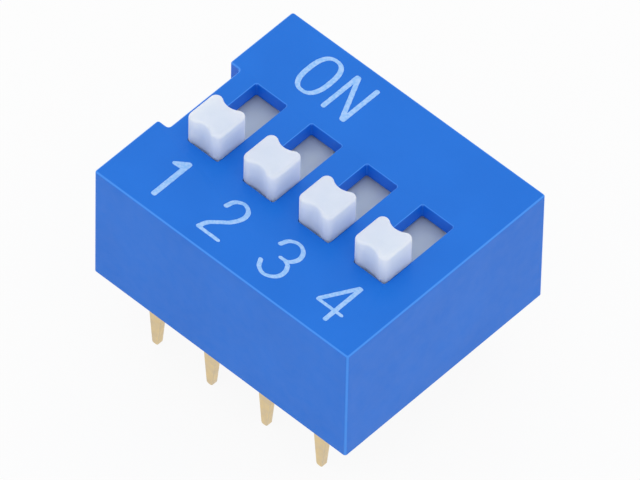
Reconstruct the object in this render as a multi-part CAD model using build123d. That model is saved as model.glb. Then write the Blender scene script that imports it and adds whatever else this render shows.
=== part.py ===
from build123d import *
import math
import os

# Four-way slide DIP switch, built from the pieces that the real one has.
# Millimetres. X runs from the first switch to the last, Y towards the ON side, Z up.
# The origin is the middle of the footprint on the seating plane, the cover's lower rim.
# Every switch is modelled at rest, which is OFF, with its knob at the numbered side.

# Layout of the switches and their pins
positions = 4
pitch = 2.54
row_spacing = 7.62

# Knob
knob_width = 1.37
knob_length = 1.33
knob_rise = 1.43          # above the cover's top face
knob_lobe_radius = 0.16   # upright corners of the knob
knob_crown_radius = 0.09  # rounding round its top
grip_depth = 0.17         # hollow in its front and back
travel = 2.0

# Slider under the cover
plate_thickness = 0.5
plate_ledge = 0.22        # how far the plate passes the knob on each side
plate_overlap = 0.15      # how far it still hides the slot's end at the limits
skirt_wall = 0.3

# Cover
body_height = 5.25
roof = 0.6
side_wall = 0.75
end_wall = 1.035
upright_radius = 0.1
top_radius = 0.08
slot_corner_radius = 0.08
slot_edge_chamfer = 0.04
cavity_radius = 0.3
notch_depth = 0.49
notch_width = 3.5
notch_root_radius = 0.12

# Base and its seal
chamber_height = 2.1      # from the base's top to the cover's roof
seal_recess = 0.15
seal_thickness = 0.45
pin_cover = 0.165         # least plastic outside a pin
lug_depth = 0.12
lug_height = 0.5
lug_width = 0.9
lug_rise = 0.55           # from the base's underside to the lug's catching face

# Terminals, stamped and bent from one strip
strip_thickness = 0.25
pad_width = 0.9
pad_reach = 0.25          # pad beyond the wiper's inner foot, numbered side
pad_lead = 0.6            # pad before the wiper's outer foot, ON side
bend_radius = 0.12        # inside of the bend
shoulder_drop = 0.9       # from the base's top to where the strip narrows
blade_width = 0.5
blade_length = 3.05       # below the seating plane
taper_length = 1.5
blade_tip_width = 0.27
blade_tip_radius = 0.1

# Contact spring that rides in each slider
wiper_thickness = 0.1
wiper_width = 0.8
wiper_span = 2.2          # between its two feet
wiper_arch = 0.65         # from its feet to its flat middle
wiper_angle = 45.0        # slope of its arms
wiper_foot_radius = 0.2
wiper_knee_radius = 0.15
wiper_toe = 0.22          # turned-up end beyond each foot
slit_width = 0.14         # splits each arm into two fingers
slit_length = 0.85        # from the toe's end, measured along Y
peg_radius = 0.12
peg_head_radius = 0.2
peg_head_height = 0.08

# Clearances
knob_side_gap = 0.03
knob_end_gap = 0.04
slide_gap = 0.03          # above the plate, below the skirt and below the wiper's feet
guide_gap = 0.05          # each side of the plate
stop_gap = 0.2            # between the plate's end and the cover's wall
base_fit = 0.02           # base to cover
lug_gap = 0.03
peg_gap = 0.02

# Sizes that follow
slot_width = knob_width + 2 * knob_side_gap
slot_length = knob_length + travel + 2 * knob_end_gap
plate_width = knob_width + 2 * plate_ledge
plate_length = slot_length + travel + 2 * plate_overlap
slider_reach = (plate_length + travel) / 2

cavity_length = (positions - 1) * pitch + plate_width + 2 * guide_gap
pin_face = (row_spacing + strip_thickness) / 2
cavity_width = 2 * max(pin_face + pin_cover, slider_reach + stop_gap)
body_length = cavity_length + 2 * end_wall
body_width = cavity_width + 2 * side_wall

roof_under = body_height - roof
base_top = roof_under - chamber_height
base_bottom = seal_recess + seal_thickness
plate_top = roof_under - slide_gap
plate_bottom = plate_top - plate_thickness
knob_top = body_height + knob_rise
foot_low = base_top + slide_gap
rest_shift = -travel / 2
rib_width = pitch - plate_width - 2 * guide_gap

os.makedirs("parts", exist_ok=True)


def position_x(index):
    """X of the middle of one switch."""
    return (index - (positions - 1) / 2) * pitch


def upright_edges(solid):
    return solid.edges().filter_by(Axis.Z)


def knob_profile():
    """Plan of the knob: four round lobes joined by straight sides and hollow ends.

    Each hollow is one arc that runs smoothly into the lobes beside it, so its radius follows
    from its depth.
    """
    lobe_x = knob_width / 2 - knob_lobe_radius
    lobe_y = knob_length / 2 - knob_lobe_radius
    reach = (lobe_x**2 + grip_depth**2) / (2 * grip_depth)
    hollow_radius = reach - knob_lobe_radius
    hollow_y = knob_length / 2 - grip_depth + hollow_radius
    hollow_half = math.degrees(math.asin(lobe_x / reach))
    right = Line((knob_width / 2, -lobe_y), (knob_width / 2, lobe_y))
    lobe = CenterArc((lobe_x, lobe_y), knob_lobe_radius, 0, 90 + hollow_half)
    hollow = CenterArc((0, hollow_y), hollow_radius, -90 - hollow_half, 2 * hollow_half)
    half = [right, lobe, mirror(lobe, about=Plane.YZ), hollow]
    far = [mirror(lobe, about=Plane.XZ), mirror(mirror(lobe, about=Plane.YZ), about=Plane.XZ)]
    ends = [mirror(right, about=Plane.YZ), mirror(hollow, about=Plane.XZ)]
    return make_face(Curve() + half + far + ends)


def wiper_path():
    """Middle line of the contact spring in the YZ plane, centred on its slider."""
    slope = math.radians(wiper_angle)
    foot_y = wiper_span / 2
    lowest = foot_low + wiper_thickness / 2
    foot_z = lowest - wiper_foot_radius * (1 / math.cos(slope) - 1)
    flat_z = lowest + wiper_arch
    knee_y = foot_y - (flat_z - foot_z) / math.tan(slope)
    toe_z = foot_z + wiper_toe * math.tan(slope)
    half = [(foot_y + wiper_toe, toe_z), (foot_y, foot_z), (knee_y, flat_z)]
    points = [(0, y, z) for y, z in half] + [(0, -y, z) for y, z in reversed(half)]
    radii = [wiper_foot_radius, wiper_knee_radius, wiper_knee_radius, wiper_foot_radius]
    flat_half = knee_y - wiper_knee_radius * math.tan(slope / 2)
    return FilletPolyline(*points, radius=radii), flat_z, flat_half


def make_wiper(centre_x, centre_y):
    """Contact spring: an arched strip whose two arms are each split into a pair of fingers."""
    path, flat_z, _ = wiper_path()
    section = Plane(path @ 0, x_dir=(1, 0, 0), z_dir=path % 0) * Rectangle(wiper_width, wiper_thickness)
    spring = sweep(section, path)
    hole = Pos(0, 0, flat_z) * Cylinder(peg_radius + peg_gap, 2 * wiper_thickness)
    slit = Box(slit_width, slit_length + wiper_thickness, 2 * (wiper_arch + wiper_thickness))
    slit_y = (wiper_span - slit_length + wiper_thickness) / 2 + wiper_toe
    slits = [Pos(0, y, foot_low) * slit for y in (-slit_y, slit_y)]
    return Pos(centre_x, centre_y, 0) * (spring - hole - slits)


def make_slider(centre_x, centre_y):
    """Knob, sliding plate, two skirts and the post that carries the contact spring."""
    standing = (Align.CENTER, Align.CENTER, Align.MIN)
    hanging = (Align.CENTER, Align.CENTER, Align.MAX)
    knob = extrude(Plane.XY.offset(plate_top) * knob_profile(), knob_top - plate_top)
    knob = fillet(knob.edges().group_by(Axis.Z)[-1], knob_crown_radius)
    plate = Pos(0, 0, plate_bottom) * Box(plate_width, plate_length, plate_thickness, align=standing)

    skirt_low = base_top + slide_gap
    skirt = Box(skirt_wall, plate_length, plate_bottom - skirt_low, align=standing)
    skirt_x = (plate_width - skirt_wall) / 2
    skirts = [Pos(x, 0, skirt_low) * skirt for x in (-skirt_x, skirt_x)]

    _, flat_z, flat_half = wiper_path()
    post_low = flat_z + wiper_thickness / 2
    post = Box(wiper_width, 2 * flat_half, plate_bottom - post_low, align=standing)
    head_top = flat_z - wiper_thickness / 2 - peg_gap
    peg = Cylinder(peg_radius, post_low - head_top, align=standing)
    head = Cylinder(peg_head_radius, peg_head_height, align=hanging)
    carrier = [Pos(0, 0, post_low) * post, Pos(0, 0, head_top) * peg, Pos(0, 0, head_top) * head]
    return Pos(centre_x, centre_y, 0) * (knob + plate + skirts + carrier)


def make_terminal(centre_x, side):
    """One stamped terminal: pad on the base's top, bend, and blade down to its tip.

    side is -1 on the numbered side and 1 on the ON side. The bent strip's side view is cut to
    the stamping's front view.
    """
    foot_in = rest_shift + wiper_span / 2
    foot_out = -rest_shift + wiper_span / 2
    pad_end = -(foot_in + pad_reach) if side < 0 else foot_out - pad_lead
    outer = pin_face
    inner = pin_face - strip_thickness
    tip = -blade_length
    side_view = make_face(Polyline(
        (pad_end, base_top), (outer, base_top), (outer, tip), (inner, tip),
        (inner, base_top - strip_thickness), (pad_end, base_top - strip_thickness), close=True,
    ))
    outside = side_view.vertices().sort_by_distance((outer, base_top))[0]
    side_view = fillet(outside, bend_radius + strip_thickness)
    inside = side_view.vertices().sort_by_distance((inner, base_top - strip_thickness))[0]
    side_view = fillet(inside, bend_radius)
    strip = extrude(Plane.YZ * side_view, pad_width / 2, both=True)

    shoulder = base_top - shoulder_drop
    taper_top = tip + taper_length
    right = [
        (pad_width / 2, base_top), (pad_width / 2, shoulder), (blade_width / 2, shoulder),
        (blade_width / 2, taper_top), (blade_tip_width / 2, tip),
    ]
    left = [(-x, z) for x, z in reversed(right)]
    front_view = make_face(Polyline(*right, *left, close=True))
    tip_corners = front_view.vertices().group_by(Axis.Y)[0]
    front_view = fillet(tip_corners, blade_tip_radius)
    stamping = extrude(Plane.XZ * front_view, -2 * outer)
    blank = strip & stamping
    if side < 0:
        blank = mirror(blank, about=Plane.XZ)
    return Pos(centre_x, 0, 0) * blank


def lug(depth, height, width, side):
    """Wedge on a long side of the base: a flat catching face below and a slope above."""
    wedge = make_face(Polyline((0, 0), (depth, 0), (0, height), close=True))
    solid = extrude(Plane.YZ * wedge, width / 2, both=True)
    return solid if side > 0 else mirror(solid, about=Plane.XZ)


def lug_places():
    """Middle of each lug: between neighbouring switches, on both long sides."""
    return [(position_x(i) + pitch / 2, side) for i in range(positions - 1) for side in (-1, 1)]


def make_cover():
    """Shell open below, with one slot for each knob and a notch in the first switch's end."""
    standing = (Align.CENTER, Align.CENTER, Align.MIN)
    shell = Box(body_length, body_width, body_height, align=standing)
    shell = fillet(upright_edges(shell), upright_radius)
    shell = fillet(shell.edges().group_by(Axis.Z)[-1], top_radius)
    notch = Box(notch_depth, notch_width, body_height, align=(Align.MIN, Align.CENTER, Align.MIN))
    notch = fillet(upright_edges(notch).group_by(Axis.X)[-1], notch_root_radius)
    shell -= Pos(-body_length / 2, 0, 0) * notch

    cavity = Box(cavity_length, cavity_width, roof_under, align=standing)
    shell -= fillet(upright_edges(cavity), cavity_radius)

    slot = extrude(RectangleRounded(slot_width, slot_length, slot_corner_radius), roof)
    for index in range(positions):
        shell -= Pos(position_x(index), 0, roof_under) * slot
    rims = shell.edges().group_by(Axis.Z)[-1]
    slot_rims = rims.filter_by_position(Axis.Y, -slot_length / 2, slot_length / 2)
    reach_x = slot_width / 2 - position_x(0)
    slot_rims = slot_rims.filter_by_position(Axis.X, -reach_x, reach_x)
    shell = chamfer(slot_rims, slot_edge_chamfer)

    catch_z = base_bottom + lug_rise - lug_gap
    pocket_depth = lug_depth + lug_gap
    pocket_height = lug_height * pocket_depth / lug_depth + lug_gap
    for x, side in lug_places():
        pocket = lug(pocket_depth, pocket_height, lug_width + 2 * lug_gap, side)
        shell -= Pos(x, side * cavity_width / 2, catch_z) * pocket
    return shell


def make_base(terminals):
    """Block that holds the terminals, with a rib between neighbouring sliders."""
    standing = (Align.CENTER, Align.CENTER, Align.MIN)
    length = cavity_length - 2 * base_fit
    width = cavity_width - 2 * base_fit
    block = Box(length, width, base_top - base_bottom, align=standing)
    base = Pos(0, 0, base_bottom) * fillet(upright_edges(block), cavity_radius)
    rib = Box(rib_width, width, chamber_height - base_fit, align=standing)
    for index in range(positions - 1):
        base += Pos(position_x(index) + pitch / 2, 0, base_top) * rib
    for x, side in lug_places():
        catch = lug(lug_depth + base_fit, lug_height, lug_width, side)
        base += Pos(x, side * width / 2, base_bottom + lug_rise) * catch
    return base - terminals


def make_seal(terminals):
    """Resin poured round the pins below the base."""
    standing = (Align.CENTER, Align.CENTER, Align.MIN)
    slab = Box(cavity_length, cavity_width, seal_thickness, align=standing)
    return Pos(0, 0, seal_recess) * fillet(upright_edges(slab), cavity_radius) - terminals


sides = {"front": -1, "back": 1}
pieces = {"cover": make_cover()}
terminals = {}
for index in range(positions):
    number = index + 1
    centre = position_x(index)
    pieces[f"slider_{number}"] = make_slider(centre, rest_shift)
    pieces[f"wiper_{number}"] = make_wiper(centre, rest_shift)
    for name, side in sides.items():
        terminals[f"terminal_{name}_{number}"] = make_terminal(centre, side)
pieces["base"] = make_base(list(terminals.values()))
pieces["seal"] = make_seal(list(terminals.values()))
pieces.update(terminals)

for name, piece in pieces.items():
    export_step(piece, f"parts/{name}.step")
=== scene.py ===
import math

import bmesh
import bpy
import numpy as np
from mathutils import Matrix, Quaternion, Vector, geometry, noise


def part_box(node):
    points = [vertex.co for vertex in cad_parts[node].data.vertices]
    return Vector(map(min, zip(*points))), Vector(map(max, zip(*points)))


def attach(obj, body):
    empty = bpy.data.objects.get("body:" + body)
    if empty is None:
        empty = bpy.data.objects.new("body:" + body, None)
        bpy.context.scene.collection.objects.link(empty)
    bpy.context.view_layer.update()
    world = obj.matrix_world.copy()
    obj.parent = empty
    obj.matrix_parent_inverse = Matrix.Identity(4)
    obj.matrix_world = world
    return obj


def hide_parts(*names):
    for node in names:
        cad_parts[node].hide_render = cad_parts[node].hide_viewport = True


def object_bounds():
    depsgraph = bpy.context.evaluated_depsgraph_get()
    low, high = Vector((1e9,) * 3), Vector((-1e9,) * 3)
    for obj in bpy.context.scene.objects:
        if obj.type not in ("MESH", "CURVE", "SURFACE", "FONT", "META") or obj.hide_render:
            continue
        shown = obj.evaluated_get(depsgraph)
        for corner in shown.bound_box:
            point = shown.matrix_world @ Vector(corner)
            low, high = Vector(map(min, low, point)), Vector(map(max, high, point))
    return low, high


# Four-way slide DIP switch: blue moulded cover, white slide knobs, gold-plated pins.
# Shapes are worked out in millimetres in the part's own frame, and scaled to metres at the end.
# Angles are in degrees.

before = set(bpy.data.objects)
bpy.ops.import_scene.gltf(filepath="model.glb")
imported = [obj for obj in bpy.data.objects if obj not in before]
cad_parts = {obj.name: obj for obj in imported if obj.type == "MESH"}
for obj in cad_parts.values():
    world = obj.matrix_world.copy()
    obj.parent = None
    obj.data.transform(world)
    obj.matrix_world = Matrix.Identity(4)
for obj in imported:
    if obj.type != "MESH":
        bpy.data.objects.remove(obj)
cad_low, cad_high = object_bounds()

MM = 0.001
switches = (1, 2, 3, 4)

# Meshing
arc_steps = 10
rounding_steps = 6
weld_distance = 2e-5
crease_angle = 35         # sharper edges stay sharp in the shading

# Cover
notch_depth = 0.49
notch_width = 3.5
notch_root_radius = 0.12
notch_mouth_radius = 0.1
upright_radius = 0.1
top_radius = 0.08
rim_radius = 0.03
slot_width = 1.43
slot_length = 3.41
slot_corner_radius = 0.08
slot_rim_radius = 0.04
roof = 0.6
cavity_length = 9.53
cavity_width = 8.2
cavity_radius = 0.3

# Slider: its neck passes the slot, and its wider head runs just above the cover
neck = {"width": 1.4, "length": 1.38, "lobe": 0.13, "grip": 0.06}
head = {"width": 1.5, "length": 1.475, "lobe": 0.245, "grip": 0.158}
head_foot = {**head, "grip": 0.07}       # the head's hollows are shallower at its foot
head_rise = 1.24
head_clearance = 0.005
head_edge_radius = 0.02
crown_radius = 0.12
foot_radius = 0.05                       # hollow corner between the neck and the plate
slide_gap = 0.03
plate_thickness = 0.5
plate_corner_radius = 0.12
plate_edge_radius = 0.04
skirt_wall = 0.3
channel_radius = 0.05
channel_overrun = 1.0                    # how far its cutting tool passes the skirts
post_width = 0.8
post_length = 0.6
post_drop = 0.55

# Terminals
blade_swell = 1.12        # the blade's fullest width over the strip's
blade_tip = 0.3           # stays as narrow as it is
strip_weld_distance = 1e-4
flat_angle = 1            # faces that turn by less are joined
stamped_angle = 40        # edges that turn by more are eased
stamped_edge = 0.025
stamped_edge_steps = 3

# Resin round the terminals, which creeps up the walls and the pins
pin_row = 3.81
pin_width = 0.52
strip_thickness = 0.25
strip_corner_radius = 0.03
wall_creep = 0.09
wall_creep_reach = 0.28
pin_creep = 0.06
pin_creep_reach = 0.16
creep_steps = 6

# Printing
ink_thickness = 0.012
ink_sunk = 0.002
ink_edge = 0.01
ink_grid = 0.016
ink_waver = 0.007
ink_waver_length = 0.14
pen_aspect = 0.7          # the pen is narrower along Y than along X

# Camera, placed as in the photograph
camera_target = (0.1585, -0.1106, 2.4703)
camera_distance = 469.85
camera_azimuth = 42.113
camera_elevation = 50.593
camera_roll = 1.326
camera_lens = 787.5
camera_sensor = 36

# Studio, in metres and watts
floor_size = 2.0
floor_grey = 0.78
floor_glow = 0.92         # share of the floor that shines white where it is seen
world_strength = 1.0
lamp_place = (0.3, -0.1, 0.7)
lamp_size = 0.45
lamp_power = 0.1


def span(node):
    """Lowest and highest corner of a CAD node, in millimetres."""
    low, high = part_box(node)
    return low / MM, high / MM


_, cover_high = span("cover")
seal_low, seal_high = span("seal")
slider_low, slider_high = span("slider_1")
roof_under = cover_high.z - roof
plate_top = roof_under - slide_gap


def switch_x(number):
    """X of the middle of one switch."""
    low, high = span(f"slider_{number}")
    return (low.x + high.x) / 2


# An outline is a list of arcs, counterclockwise: centre x, centre y, radius, start angle, end
# angle and side, where side is 1 on an outer corner and -1 in a hollow. Straight runs join them.

def rounded_rectangle(half_x, half_y, radius, x=0.0, y=0.0):
    in_x, in_y = half_x - radius, half_y - radius
    corners = ((1, 1, 0), (-1, 1, 90), (-1, -1, 180), (1, -1, 270))
    return [(x + sx * in_x, y + sy * in_y, radius, a, a + 90, 1) for sx, sy, a in corners]


def cover_outline():
    """Plan of the cover: a rectangle with a notch in the first switch's end."""
    end, side = -cover_high.x, notch_width / 2
    mouth_x, mouth_y = end + notch_mouth_radius, side + notch_mouth_radius
    root_x, root_y = end + notch_depth - notch_root_radius, side - notch_root_radius
    first, second, third, fourth = rounded_rectangle(cover_high.x, cover_high.y, upright_radius)
    notch = [
        (mouth_x, mouth_y, notch_mouth_radius, 180, 270, 1),
        (root_x, root_y, notch_root_radius, 90, 0, -1),
        (root_x, -root_y, notch_root_radius, 0, -90, -1),
        (mouth_x, -mouth_y, notch_mouth_radius, 90, 180, 1),
    ]
    return [first, second, *notch, third, fourth]


def knob_outline(width, length, lobe, grip):
    """Plan of the knob: four round lobes, straight sides, and a hollow in front and at the back."""
    lobe_x, lobe_y = width / 2 - lobe, length / 2 - lobe
    reach = (lobe_x**2 + grip**2) / (2 * grip)      # from the hollow's centre to a lobe's
    hollow = reach - lobe
    hollow_y = length / 2 - grip + hollow
    half = math.degrees(math.asin(lobe_x / reach))
    return [
        (lobe_x, lobe_y, lobe, 0, 90 + half, 1),
        (0, hollow_y, hollow, -90 + half, -90 - half, -1),
        (-lobe_x, lobe_y, lobe, 90 - half, 180, 1),
        (-lobe_x, -lobe_y, lobe, 180, 270 + half, 1),
        (0, -hollow_y, hollow, 90 + half, 90 - half, -1),
        (lobe_x, -lobe_y, lobe, 270 - half, 360, 1),
    ]


def trace(outline, inset):
    """Points of an outline moved inwards by inset."""
    points = []
    for x, y, radius, start, end, side in outline:
        reach = radius - side * inset
        for k in range(arc_steps + 1):
            angle = math.radians(start + (end - start) * k / arc_steps)
            points.append((x + reach * math.cos(angle), y + reach * math.sin(angle)))
    return points


def quarter(radius):
    """Rounding from an upright wall to the face above it, as pairs of inset and drop."""
    angles = [math.pi / 2 * k / rounding_steps for k in range(rounding_steps + 1)]
    return [(radius * (1 - math.cos(a)), radius * (1 - math.sin(a))) for a in angles]


class Shell:
    """A closed mesh built from level rings of points."""

    def __init__(self):
        self.points = []
        self.faces = []

    def loop(self, flat_points, z):
        first = len(self.points)
        self.points += [(x, y, z) for x, y in flat_points]
        return list(range(first, len(self.points)))

    def ring(self, outline, inset, z):
        return self.loop(trace(outline, inset), z)

    def walls(self, rings):
        """Faces between each ring and the next."""
        for lower, upper in zip(rings, rings[1:]):
            for k in range(len(lower)):
                self.faces.append((lower[k - 1], lower[k], upper[k], upper[k - 1]))

    def sheet(self, loops, up):
        """Level face bounded by the first loop, with a hole at each of the others."""
        indices = [index for loop in loops for index in loop]
        corners = [[Vector(self.points[index]) for index in loop] for loop in loops]
        for triangle in geometry.tessellate_polygon(corners):
            a, b, c = (indices[k] for k in triangle)
            pa, pb, pc = (Vector(self.points[k]) for k in (a, b, c))
            rising = (pb - pa).cross(pc - pa).z > 0
            self.faces.append((a, b, c) if rising == up else (a, c, b))

    def mesh(self, name):
        made = bpy.data.meshes.new(name)
        made.from_pydata(self.points, [], self.faces)
        return mend(made)


def mend(mesh):
    """Welds points that lie together, drops what vanishes and turns every face outwards."""
    work = bmesh.new()
    work.from_mesh(mesh)
    bmesh.ops.remove_doubles(work, verts=work.verts, dist=weld_distance)
    bmesh.ops.dissolve_degenerate(work, edges=work.edges, dist=weld_distance)
    bmesh.ops.recalc_face_normals(work, faces=work.faces)
    work.to_mesh(mesh)
    work.free()
    return mesh


def solid(name, outline, profile):
    """Closed solid whose rings are given as (inset, z) from its bottom to its top."""
    shell = Shell()
    rings = [shell.ring(outline, inset, z) for inset, z in profile]
    shell.walls(rings)
    shell.sheet([rings[0]], up=False)
    shell.sheet([rings[-1]], up=True)
    return shell.mesh(name)


def combine(base, tool, operation):
    """Boolean of two meshes, as a new mesh."""
    objects = [bpy.data.objects.new(mesh.name, mesh) for mesh in (base, tool)]
    for made in objects:
        bpy.context.scene.collection.objects.link(made)
    cut = objects[0].modifiers.new("cut", "BOOLEAN")
    cut.operation = operation
    cut.solver = "EXACT"
    cut.object = objects[1]
    graph = bpy.context.evaluated_depsgraph_get()
    result = bpy.data.meshes.new_from_object(objects[0].evaluated_get(graph))
    for made in objects:
        bpy.data.objects.remove(made)
    return mend(result)


# Pieces, each in millimetres

def make_cover():
    """Shell open below, with a slot for each knob and a notch in the first switch's end."""
    shell = Shell()
    outline = cover_outline()
    top = cover_high.z
    lower = [shell.ring(outline, inset, drop) for inset, drop in reversed(quarter(rim_radius))]
    upper = [shell.ring(outline, inset, top - drop) for inset, drop in quarter(top_radius)]
    shell.walls(lower + upper)

    mouths, throats = [], []
    for number in switches:
        x = switch_x(number)
        slot = rounded_rectangle(slot_width / 2, slot_length / 2, slot_corner_radius, x)
        throat = shell.ring(slot, 0, roof_under)
        rim = [shell.ring(slot, -inset, top - drop) for inset, drop in quarter(slot_rim_radius)]
        shell.walls([throat, *rim])
        throats.append(throat)
        mouths.append(rim[-1])

    cavity = rounded_rectangle(cavity_length / 2, cavity_width / 2, cavity_radius)
    inner_low, inner_high = shell.ring(cavity, 0, 0), shell.ring(cavity, 0, roof_under)
    shell.walls([inner_low, inner_high])
    shell.sheet([upper[-1], *mouths], up=True)
    shell.sheet([inner_high, *throats], up=False)
    shell.sheet([lower[0], inner_low], up=False)
    return shell.mesh("cover_shell")


def make_slider():
    """Knob in one piece with its sliding plate, two skirts and the post for the contact spring."""
    size = slider_high - slider_low
    skirt_low = slider_low.z
    plate_bottom = plate_top - plate_thickness
    head_low, head_top = cover_high.z + head_clearance, cover_high.z + head_rise
    plate_plan = rounded_rectangle(size.x / 2, size.y / 2, plate_corner_radius)
    neck_plan, foot_plan, head_plan = (knob_outline(**plan) for plan in (neck, head_foot, head))

    shell = Shell()
    plate = [shell.ring(plate_plan, 0, skirt_low)]
    for inset, drop in quarter(plate_edge_radius):
        plate.append(shell.ring(plate_plan, inset, plate_top - drop))
    knob = []
    for inset, drop in reversed(quarter(foot_radius)):
        knob.append(shell.ring(neck_plan, -inset, plate_top + drop))
    knob.append(shell.ring(neck_plan, 0, head_low))
    for inset, drop in reversed(quarter(head_edge_radius)):
        knob.append(shell.ring(foot_plan, inset, head_low + drop))
    for inset, drop in quarter(crown_radius):
        knob.append(shell.ring(head_plan, inset, head_top - drop))
    shell.walls(plate)
    shell.walls(knob)
    shell.sheet([plate[0]], up=False)
    shell.sheet([plate[-1], knob[0]], up=True)
    shell.sheet([knob[-1]], up=True)
    block = shell.mesh("slider_block")

    # The channel is twice the slider's length, so it is open at both ends.
    channel_plan = rounded_rectangle(size.x / 2 - skirt_wall, size.y, channel_radius)
    channel_profile = [(0, skirt_low - channel_overrun), (0, plate_bottom)]
    channel = solid("slider_channel", channel_plan, channel_profile)
    post_plan = rounded_rectangle(post_width / 2, post_length / 2, channel_radius)
    post_profile = [(0, plate_bottom - post_drop), (0, plate_bottom + slide_gap)]
    post = solid("slider_post", post_plan, post_profile)
    return combine(combine(block, channel, "DIFFERENCE"), post, "UNION")


def make_terminal(node):
    """The stamped terminal, with a fuller blade and its edges eased as a punch leaves them."""
    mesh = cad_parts[node].data.copy()
    mesh.transform(Matrix.Scale(1 / MM, 4))
    low, high = span(node)
    middle = (low.x + high.x) / 2
    for corner in mesh.vertices:
        if low.z + blade_tip < corner.co.z < 0:
            corner.co.x = middle + (corner.co.x - middle) * blade_swell
    work = bmesh.new()
    work.from_mesh(mesh)
    bmesh.ops.remove_doubles(work, verts=work.verts, dist=strip_weld_distance)
    bmesh.ops.dissolve_limit(
        work, angle_limit=math.radians(flat_angle), verts=work.verts, edges=work.edges
    )
    stamped_turn = math.radians(stamped_angle)
    stamped = [edge for edge in work.edges if edge.calc_face_angle(0) > stamped_turn]
    bmesh.ops.bevel(
        work,
        geom=stamped,
        offset=stamped_edge,
        segments=stamped_edge_steps,
        profile=0.5,
        affect="EDGES",
    )
    work.to_mesh(mesh)
    work.free()
    return mend(mesh)


def make_seal():
    """Poured resin, which creeps up the cover's wall and the pins as it sets."""
    shell = Shell()
    wall = rounded_rectangle(cavity_length / 2, cavity_width / 2, cavity_radius)
    shares = [k / creep_steps for k in range(creep_steps + 1)]

    def creep(outline, height, reach):
        """Rings from the resin's high edge against a wall out to its level face."""
        return [shell.ring(outline, reach * s, seal_low.z - height * (1 - s) ** 2) for s in shares]

    pool = creep(wall, wall_creep, wall_creep_reach)
    top = shell.ring(wall, 0, seal_high.z)
    shell.walls([*reversed(pool), top])
    feet, heads = [], []
    for number in switches:
        x = switch_x(number)
        for y in (-pin_row, pin_row):
            pin = rounded_rectangle(pin_width / 2, strip_thickness / 2, strip_corner_radius, x, y)
            head = shell.ring(pin, 0, seal_high.z)
            rings = creep(pin, pin_creep, -pin_creep_reach)
            shell.walls([head, *rings])
            feet.append(rings[-1])
            heads.append(head)
    shell.sheet([pool[-1], *feet], up=False)
    shell.sheet([top, *heads], up=True)
    return shell.mesh("seal_resin")


# Printing on the top face. Each sign is one or more lines, drawn with an oval pen.

def smooth_line(points, steps=8):
    """Points of a Catmull-Rom curve through the given points."""
    ends = [2 * np.array(points[0]) - points[1], 2 * np.array(points[-1]) - points[-2]]
    knots = [ends[0], *map(np.array, points), ends[1]]
    line = []
    for a, b, c, d in zip(knots, knots[1:], knots[2:], knots[3:]):
        for k in range(steps):
            t = k / steps
            twice = 2 * b + (c - a) * t
            twice += (2 * a - 5 * b + 4 * c - d) * t**2
            twice += (3 * b - a - 3 * c + d) * t**3
            line.append(tuple(twice / 2))
    return line + [tuple(points[-1])]


def oval(x, y, half_x, half_y, power=2.5, steps=72):
    """Closed oval whose sides are a little straighter than an ellipse's."""
    line = []
    for k in range(steps + 1):
        angle = 2 * math.pi * k / steps
        c, s = math.cos(angle), math.sin(angle)
        line.append((
            x + half_x * math.copysign(abs(c) ** (2 / power), c),
            y + half_y * math.copysign(abs(s) ** (2 / power), s),
        ))
    return line


def signs():
    """Each sign's name, stroke width and lines, in the part's plan."""
    letter_n = [(-2.225, 2.52), (-2.225, 4.24), (-2.185, 4.24)]
    letter_n += [(-1.365, 2.52), (-1.32, 2.52), (-1.32, 4.24)]
    one_stem = [(-3.69, -4.18), (-3.69, -2.44)]
    one_flag = [(-4.08, -2.735), (-3.69, -2.44), (-3.69, -2.70), (-4.08, -2.735)]
    one_fill = [(-3.82, -2.62), (-3.69, -2.6)]
    two_bow = [(-1.58, -2.90), (-1.47, -2.58), (-1.15, -2.43), (-0.84, -2.60), (-0.78, -2.93)]
    two_bow += [(-0.98, -3.32), (-1.27, -3.58), (-1.54, -3.85), (-1.645, -4.15)]
    two_base = [(-1.645, -4.17), (-0.77, -4.17)]
    three_high = [(0.85, -2.84), (0.99, -2.55), (1.33, -2.42), (1.65, -2.57), (1.77, -2.86)]
    three_high += [(1.68, -3.12), (1.52, -3.24), (1.27, -3.26)]
    three_low = [(1.44, -3.25), (1.68, -3.37), (1.80, -3.68), (1.70, -3.98), (1.34, -4.16)]
    three_low += [(1.00, -4.03), (0.835, -3.77)]
    four = [(4.128, -4.17), (4.128, -2.41), (4.085, -2.41)]
    four += [(3.38, -3.63), (3.38, -3.688), (4.41, -3.688)]
    return {
        "letter_O": (0.205, [oval(-3.21, 3.395, 0.49, 0.87)]),
        "letter_N": (0.19, [letter_n]),
        "digit_1": (0.215, [one_stem, one_flag, one_fill]),
        "digit_2": (0.19, [smooth_line(two_bow), two_base]),
        "digit_3": (0.185, [smooth_line(three_high), smooth_line(three_low)]),
        "digit_4": (0.175, [four]),
    }


def stroke_field(lines, stroke):
    """Grid over a sign, with the distance to its strokes' uneven edge, below zero inside."""
    corners = np.array([point for line in lines for point in line])
    margin = stroke
    low, high = corners.min(0) - margin, corners.max(0) + margin
    xs, ys = np.arange(low[0], high[0], ink_grid), np.arange(low[1], high[1], ink_grid)
    px, py = np.meshgrid(xs, ys)
    nearest = np.full(px.shape, np.inf)
    for line in lines:
        for (ax, ay), (bx, by) in zip(line, line[1:]):
            from_x, from_y = px - ax, (py - ay) / pen_aspect
            dx, dy = bx - ax, (by - ay) / pen_aspect
            share = np.clip((from_x * dx + from_y * dy) / (dx * dx + dy * dy), 0, 1)
            nearest = np.minimum(nearest, np.hypot(from_x - share * dx, from_y - share * dy))
    waver = [[noise.noise(Vector((x, y, 0)) / ink_waver_length) for x in xs] for y in ys]
    return xs, ys, nearest - stroke / 2 + ink_waver * np.array(waver)


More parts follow.
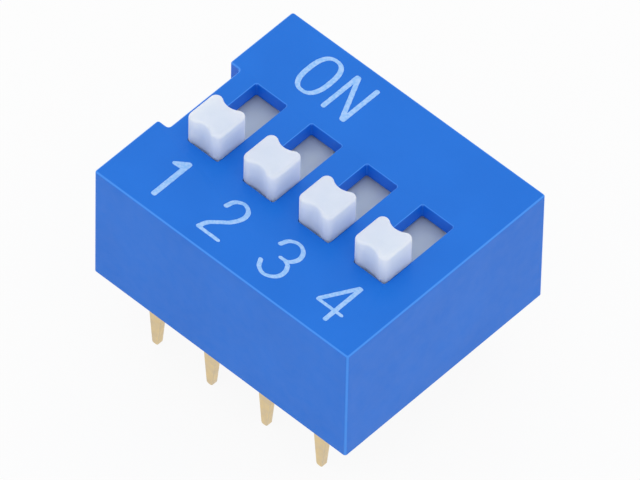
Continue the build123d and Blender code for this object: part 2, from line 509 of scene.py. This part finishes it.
def level_loops(xs, ys, field):
    """Closed loops where the field passes zero, with the inside on their left."""
    inside = field < 0
    near, right, above, far = inside[:-1, :-1], inside[:-1, 1:], inside[1:, :-1], inside[1:, 1:]
    crossed = (near != right) | (near != above) | (near != far)
    links, places = {}, {}
    for i, j in np.argwhere(crossed).tolist():
        corners = [(i, j), (i, j + 1), (i + 1, j + 1), (i + 1, j)]
        marks = []
        for a, b in zip(corners, corners[1:] + corners[:1]):
            if inside[a] != inside[b]:
                share = field[a] / (field[a] - field[b])
                key = (min(a, b), max(a, b))
                places[key] = (
                    xs[a[1]] + share * (xs[b[1]] - xs[a[1]]),
                    ys[a[0]] + share * (ys[b[0]] - ys[a[0]]),
                )
                marks.append((key, inside[a]))
        for k, (key, leaving) in enumerate(marks):
            if leaving:
                links[key] = marks[(k + 1) % len(marks)][0]
    loops = []
    while links:
        key, loop = next(iter(links)), []
        while key in links:
            loop.append(places[key])
            key = links.pop(key)
        loops.append(np.array(loop))
    return loops


def make_sign(name, stroke, lines):
    """Film of ink in a sign's shape, with eased edges."""
    shell = Shell()
    low, high = [], []
    for loop in level_loops(*stroke_field(lines, stroke)):
        even = (np.roll(loop, 1, 0) + 2 * loop + np.roll(loop, -1, 0)) / 4
        along = np.roll(even, -1, 0) - np.roll(even, 1, 0)
        across = np.stack([-along[:, 1], along[:, 0]], 1)
        inwards = across / np.linalg.norm(along, axis=1)[:, None]
        bottom = shell.loop(even, cover_high.z - ink_sunk)
        side = shell.loop(even + inwards * ink_edge / 4, cover_high.z + ink_thickness / 2)
        top = shell.loop(even + inwards * ink_edge, cover_high.z + ink_thickness)
        shell.walls([bottom, side, top])
        low.append(bottom)
        high.append(top)
    shell.sheet(low, up=False)
    shell.sheet(high, up=True)
    return shell.mesh(name)


# Materials. Every pattern is in the object's own coordinates, at a size given in millimetres.

class Finish:
    """A procedural material round one Principled shader."""

    def __init__(self, name, **sockets):
        self.material = bpy.data.materials.new(name)
        self.material.use_nodes = True
        self.tree = self.material.node_tree
        self.shader = self.tree.nodes["Principled BSDF"]
        self.coordinates = self.node("ShaderNodeTexCoord")
        for key, value in sockets.items():
            self.shader.inputs[key.replace("_", " ")].default_value = value

    def node(self, kind, inputs=(), **settings):
        made = self.tree.nodes.new(kind)
        for key, value in settings.items():
            setattr(made, key, value)
        for key, value in dict(inputs).items():
            self.feed(made.inputs[key], value)
        return made

    def feed(self, socket, value):
        """Links a socket to another, or sets its value."""
        if isinstance(value, bpy.types.NodeSocket):
            self.tree.links.new(value, socket)
        else:
            socket.default_value = value

    def calculate(self, operation, first, second=0.0):
        return self.node("ShaderNodeMath", {0: first, 1: second}, operation=operation).outputs[0]

    def ramp(self, value, low, high, to_low=0.0, to_high=1.0):
        """Value from low to high becomes to_low to to_high, and stays there beyond."""
        levels = {"From Min": low, "From Max": high, "To Min": to_low, "To Max": to_high}
        return self.node("ShaderNodeMapRange", {"Value": value, **levels}).outputs["Result"]

    def blend(self, share, first, second):
        """Colour between two others."""
        made = self.node("ShaderNodeMix", data_type="RGBA")
        self.feed(made.inputs[0], share)
        for socket, colour in ((made.inputs[6], first), (made.inputs[7], second)):
            linked = isinstance(colour, bpy.types.NodeSocket)
            self.feed(socket, colour if linked else (*colour, 1))
        return made.outputs[2]

    def scaled(self, size, stretch=(1, 1, 1)):
        """The object's own coordinates, in units of that size."""
        scale = [s / (size * MM) for s in stretch]
        inputs = {"Vector": self.coordinates.outputs["Object"], "Scale": scale}
        return self.node("ShaderNodeMapping", inputs).outputs["Vector"]

    def grain(self, size, detail=2.0, stretch=(1, 1, 1)):
        """Noise from 0 to 1 with features of that size."""
        inputs = {"Vector": self.scaled(size, stretch), "Scale": 1.0, "Detail": detail}
        return self.node("ShaderNodeTexNoise", inputs).outputs["Fac"]

    def cells(self, size):
        """Distance from scattered points that lie that far apart, as a share of the size."""
        inputs = {"Vector": self.scaled(size), "Scale": 1.0}
        return self.node("ShaderNodeTexVoronoi", inputs).outputs["Distance"]

    def rounding(self, low=0.995, high=0.8):
        """1 on rounded edges and 0 on faces square to the axes."""
        normal = self.coordinates.outputs["Normal"]
        parts = self.node("ShaderNodeSeparateXYZ", {"Vector": normal})
        largest = None
        for axis in "XYZ":
            size = self.calculate("ABSOLUTE", parts.outputs[axis])
            largest = self.calculate("MAXIMUM", largest, size) if largest else size
        return self.ramp(largest, low, high)

    def along(self, axis):
        """Place along one of the part's axes, in metres."""
        place = self.coordinates.outputs["Object"]
        return self.node("ShaderNodeSeparateXYZ", {"Vector": place}).outputs[axis]

    def bump(self, layers):
        """Stacks bumps given as (height, depth in millimetres)."""
        normal = None
        for height, depth in layers:
            inputs = {"Height": height, "Distance": depth * MM, "Strength": 1.0}
            if normal is not None:
                inputs["Normal"] = normal
            normal = self.node("ShaderNodeBump", inputs).outputs["Normal"]
        self.feed(self.shader.inputs["Normal"], normal)

    def paint(self, colour, roughness):
        """Feeds the shader and gives back the finished material."""
        self.feed(self.shader.inputs["Base Color"], colour)
        self.feed(self.shader.inputs["Roughness"], roughness)
        return self.material


def cover_plastic():
    """Blue moulded plastic with a satin skin, with a painted highlight along the rounded edges of
    its outside.
    """
    blue, cloud_blue = (0.0035, 0.158, 0.69), (0.0050, 0.168, 0.72)
    fleck_blue, highlight_blue = (0.004, 0.145, 0.66), (0.060, 0.29, 0.90)
    finish = Finish("cover_plastic", Specular_IOR_Level=0.26)
    cloud = finish.ramp(finish.grain(2.6, detail=3), 0.35, 0.65)
    colour = finish.blend(cloud, blue, cloud_blue)
    fleck = finish.ramp(finish.grain(0.11), 0.62, 0.74, 0, 0.25)
    colour = finish.blend(fleck, colour, fleck_blue)

    # Painted highlight on the rounded edges, kept near the top face or beyond the slots, so the
    # slots stay plain inside.
    lit_from, lit_fully = cover_high.z - 0.1, cover_high.z - 0.04
    near_top = finish.ramp(finish.along("Z"), lit_from * MM, lit_fully * MM)
    slots_end = switch_x(switches[-1]) + slot_width / 2
    lit_beyond = slots_end + 0.4
    from_middle = finish.calculate("ABSOLUTE", finish.along("X"))
    past_slots = finish.ramp(from_middle, slots_end * MM, lit_beyond * MM)
    outer = finish.calculate("MAXIMUM", near_top, past_slots)
    edge = finish.ramp(finish.calculate("MULTIPLY", finish.rounding(), outer), 0, 0.6)
    colour = finish.blend(edge, colour, highlight_blue)

    roughness = finish.ramp(finish.grain(0.4, detail=3), 0.3, 0.7, 0.34, 0.44)
    finish.bump([(finish.grain(0.9), 0.0022), (finish.grain(0.028, detail=3), 0.0008)])
    return finish.paint(colour, roughness)


def slider_plastic():
    """Milky natural nylon, which lets light through, with painted shade and painted blue reflected
    light inside a slot, and a painted highlight on its rounded edges.
    """
    white, cloud_white = (0.635, 0.705, 0.825), (0.665, 0.73, 0.845)
    slot_shade_blue, highlight_white = (0.55, 0.67, 0.98), (0.73, 0.80, 0.92)
    light_reach = 2.0
    finish = Finish(
        "slider_plastic",
        Specular_IOR_Level=0.4,
        Subsurface_Weight=1.0,
        Subsurface_Scale=light_reach * MM,
        Subsurface_Radius=(1.0, 1.0, 1.0),
    )
    cloud = finish.ramp(finish.grain(0.7, detail=3), 0.35, 0.65)
    colour = finish.blend(cloud, white, cloud_white)
    # Painted shade and painted blue light reflected from the slot's walls, strongest at the plate
    # and gone at the cover's top face.
    slot_shade = finish.ramp(finish.along("Z"), plate_top * MM, cover_high.z * MM, 1, 0)
    colour = finish.blend(slot_shade, colour, slot_shade_blue)
    # Painted highlight along the rounded edges and the crown's rim.
    edge = finish.ramp(finish.rounding(), 0, 1, 0, 0.5)
    colour = finish.blend(edge, colour, highlight_white)
    roughness = finish.ramp(finish.grain(0.25, detail=3), 0.3, 0.7, 0.36, 0.5)
    finish.bump([(finish.grain(0.5), 0.002), (finish.grain(0.04, detail=3), 0.001)])
    return finish.paint(colour, roughness)


def plating(name, bright, dull, smoothest, roughest):
    """Gold plating over rolled strip, with fine draw lines and a thin tarnish."""
    highlight_gold = (0.60, 0.56, 0.46)
    finish = Finish(name, Metallic=1.0)
    tarnish = finish.ramp(finish.grain(0.35, detail=4), 0.38, 0.68)
    colour = finish.blend(tarnish, bright, dull)
    # Painted highlight along the eased edges.
    edge = finish.ramp(finish.rounding(0.99, 0.85), 0, 1, 0, 0.55)
    colour = finish.blend(edge, colour, highlight_gold)
    lines = finish.grain(0.03, stretch=(1, 1, 0.06))
    roughness = finish.ramp(finish.grain(0.2, detail=3), 0.3, 0.7, smoothest, roughest)
    finish.bump([(finish.grain(0.45), 0.003), (lines, 0.0012)])
    return finish.paint(colour, roughness)


def base_plastic():
    """Black glass-filled plastic with a dull, slightly speckled skin."""
    black, speck_grey = (0.016, 0.016, 0.018), (0.05, 0.05, 0.05)
    finish = Finish("base_plastic", Specular_IOR_Level=0.4)
    speck = finish.ramp(finish.grain(0.06), 0.6, 0.72, 0, 0.5)
    colour = finish.blend(speck, black, speck_grey)
    roughness = finish.ramp(finish.grain(0.3, detail=3), 0.3, 0.7, 0.45, 0.62)
    finish.bump([(finish.grain(0.05, detail=3), 0.002)])
    return finish.paint(colour, roughness)


def resin():
    """Dark poured resin, glossy, with a few bubbles and a dusty bloom."""
    dark, dusty = (0.022, 0.019, 0.016), (0.075, 0.068, 0.06)
    finish = Finish("sealing_resin", Specular_IOR_Level=0.5)
    bloom = finish.ramp(finish.grain(1.4, detail=4), 0.45, 0.75, 0, 0.5)
    colour = finish.blend(bloom, dark, dusty)
    bubbles = finish.ramp(finish.cells(0.55), 0.06, 0.16, 0, 1)
    roughness = finish.ramp(finish.grain(0.5, detail=3), 0.35, 0.65, 0.14, 0.32)
    finish.bump([(finish.grain(1.2), 0.02), (bubbles, 0.02)])
    return finish.paint(colour, roughness)


def ink():
    """Pale blue printing ink, a thin film that is a little lighter where it is thickest."""
    thin_blue, thick_blue = (0.27, 0.53, 0.95), (0.40, 0.62, 0.98)
    finish = Finish("printing_ink", Specular_IOR_Level=0.25)
    thick = finish.ramp(finish.grain(0.09, detail=3), 0.38, 0.62)
    colour = finish.blend(thick, thin_blue, thick_blue)
    roughness = finish.ramp(finish.grain(0.1), 0.3, 0.7, 0.5, 0.62)
    finish.bump([(finish.grain(0.07, detail=3), 0.0015)])
    return finish.paint(colour, roughness)


# Putting the pieces in place

def add_piece(name, mesh, material, body, replaced=None):
    """Adds a mesh made in millimetres as a piece that rides on a body."""
    mesh.transform(Matrix.Scale(MM, 4))
    mesh.shade_smooth()
    mesh.set_sharp_from_angle(angle=math.radians(crease_angle))
    mesh.materials.clear()
    mesh.materials.append(material)
    piece = bpy.data.objects.new(name, mesh)
    bpy.context.scene.collection.objects.link(piece)
    weighting = piece.modifiers.new("weighting", "WEIGHTED_NORMAL")
    weighting.keep_sharp = True
    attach(piece, body)
    if replaced:
        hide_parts(replaced)


def dress(node, material):
    """Gives a CAD node that stays its material."""
    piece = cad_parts[node]
    piece.data.materials.clear()
    piece.data.materials.append(material)


def add_object():
    add_piece("cover_moulding", make_cover(), cover_plastic(), "housing", "cover")
    nylon, slider = slider_plastic(), make_slider()
    for number in switches:
        node = f"slider_{number}"
        low, high = span(node)
        mesh = slider.copy()
        mesh.transform(Matrix.Translation(((low.x + high.x) / 2, (low.y + high.y) / 2, 0)))
        add_piece(f"knob_{number}", mesh, nylon, f"switch_{number}", node)
    bpy.data.meshes.remove(slider)

    pin_gold = plating(
        "terminal_plating",
        bright=(0.77, 0.60, 0.33),
        dull=(0.68, 0.55, 0.36),
        smoothest=0.3,
        roughest=0.44,
    )
    spring_gold = plating(
        "contact_spring",
        bright=(0.83, 0.62, 0.30),
        dull=(0.72, 0.56, 0.32),
        smoothest=0.18,
        roughest=0.3,
    )
    for number in switches:
        dress(f"wiper_{number}", spring_gold)
        for side in ("front", "back"):
            node = f"terminal_{side}_{number}"
            pin = make_terminal(node)
            add_piece(f"pin_{side}_{number}", pin, pin_gold, "housing", node)
    add_piece("resin_pool", make_seal(), resin(), "housing", "seal")
    dress("base", base_plastic())

    printing = ink()
    for name, (stroke, lines) in signs().items():
        film = make_sign(name, stroke, lines)
        add_piece(f"printed_{name}", film, printing, "housing")


# Floor, light and camera

def seen_directly(tree):
    """1 for what the camera sees, straight or in a reflection or through glass, and 0 for light."""
    path = tree.nodes.new("ShaderNodeLightPath")
    seen = path.outputs["Is Camera Ray"]
    for name in ("Is Glossy Ray", "Is Transmission Ray"):
        larger = tree.nodes.new("ShaderNodeMath")
        larger.operation = "MAXIMUM"
        tree.links.new(seen, larger.inputs[0])
        tree.links.new(path.outputs[name], larger.inputs[1])
        seen = larger.outputs[0]
    return seen


def add_floor():
    """White floor at the pin tips, brightened where it is seen, which keeps a faint shadow."""
    half, z = floor_size / 2, cad_low.z
    corners = [(-half, -half, z), (half, -half, z), (half, half, z), (-half, half, z)]
    mesh = bpy.data.meshes.new("floor")
    mesh.from_pydata(corners, [], [(0, 1, 2, 3)])
    floor = bpy.data.objects.new("floor", mesh)
    bpy.context.scene.collection.objects.link(floor)
    material = bpy.data.materials.new("floor")
    material.use_nodes = True
    tree = material.node_tree
    tree.nodes.clear()
    paper = tree.nodes.new("ShaderNodeBsdfDiffuse")
    paper.inputs["Color"].default_value = (floor_grey, floor_grey, floor_grey, 1)
    light = tree.nodes.new("ShaderNodeEmission")
    share = tree.nodes.new("ShaderNodeMath")
    share.operation = "MULTIPLY"
    share.inputs[1].default_value = floor_glow
    mix = tree.nodes.new("ShaderNodeMixShader")
    output = tree.nodes.new("ShaderNodeOutputMaterial")
    tree.links.new(seen_directly(tree), share.inputs[0])
    tree.links.new(share.outputs[0], mix.inputs[0])
    tree.links.new(paper.outputs[0], mix.inputs[1])
    tree.links.new(light.outputs[0], mix.inputs[2])
    tree.links.new(mix.outputs[0], output.inputs["Surface"])
    mesh.materials.append(material)


def add_world():
    """White surroundings: world_strength as light, and plain white where they are seen."""
    world = bpy.data.worlds.new("studio")
    world.use_nodes = True
    tree = world.node_tree
    background = tree.nodes["Background"]
    background.inputs["Color"].default_value = (1, 1, 1, 1)
    level = tree.nodes.new("ShaderNodeMapRange")
    level.inputs["To Min"].default_value = world_strength
    level.inputs["To Max"].default_value = 1.0
    tree.links.new(seen_directly(tree), level.inputs["Value"])
    tree.links.new(level.outputs["Result"], background.inputs["Strength"])
    bpy.context.scene.world = world


def add_lamp():
    """Round soft lamp overhead that points at the object."""
    data = bpy.data.lights.new("overhead", "AREA")
    data.shape = "DISK"
    data.size = lamp_size
    data.energy = lamp_power
    lamp = bpy.data.objects.new("overhead", data)
    lamp.location = lamp_place
    lamp.rotation_euler = (-Vector(lamp_place)).to_track_quat("-Z", "Y").to_euler()
    bpy.context.scene.collection.objects.link(lamp)


def add_camera():
    azimuth, elevation = math.radians(camera_azimuth), math.radians(camera_elevation)
    level = math.cos(elevation)
    back = Vector((math.sin(azimuth) * level, -math.cos(azimuth) * level, math.sin(elevation)))
    data = bpy.data.cameras.new("camera")
    data.lens = camera_lens
    data.sensor_width = camera_sensor
    data.clip_start = 0.01
    data.clip_end = 10
    camera = bpy.data.objects.new("camera", data)
    camera.location = (Vector(camera_target) + back * camera_distance) * MM
    camera.rotation_mode = "QUATERNION"
    roll = Quaternion((0, 0, 1), math.radians(camera_roll))
    camera.rotation_quaternion = (-back).to_track_quat("-Z", "Y") @ roll
    bpy.context.scene.collection.objects.link(camera)
    bpy.context.scene.camera = camera


add_object()
add_floor()
add_world()
add_lamp()
add_camera()
bpy.context.scene.view_settings.view_transform = "Standard"
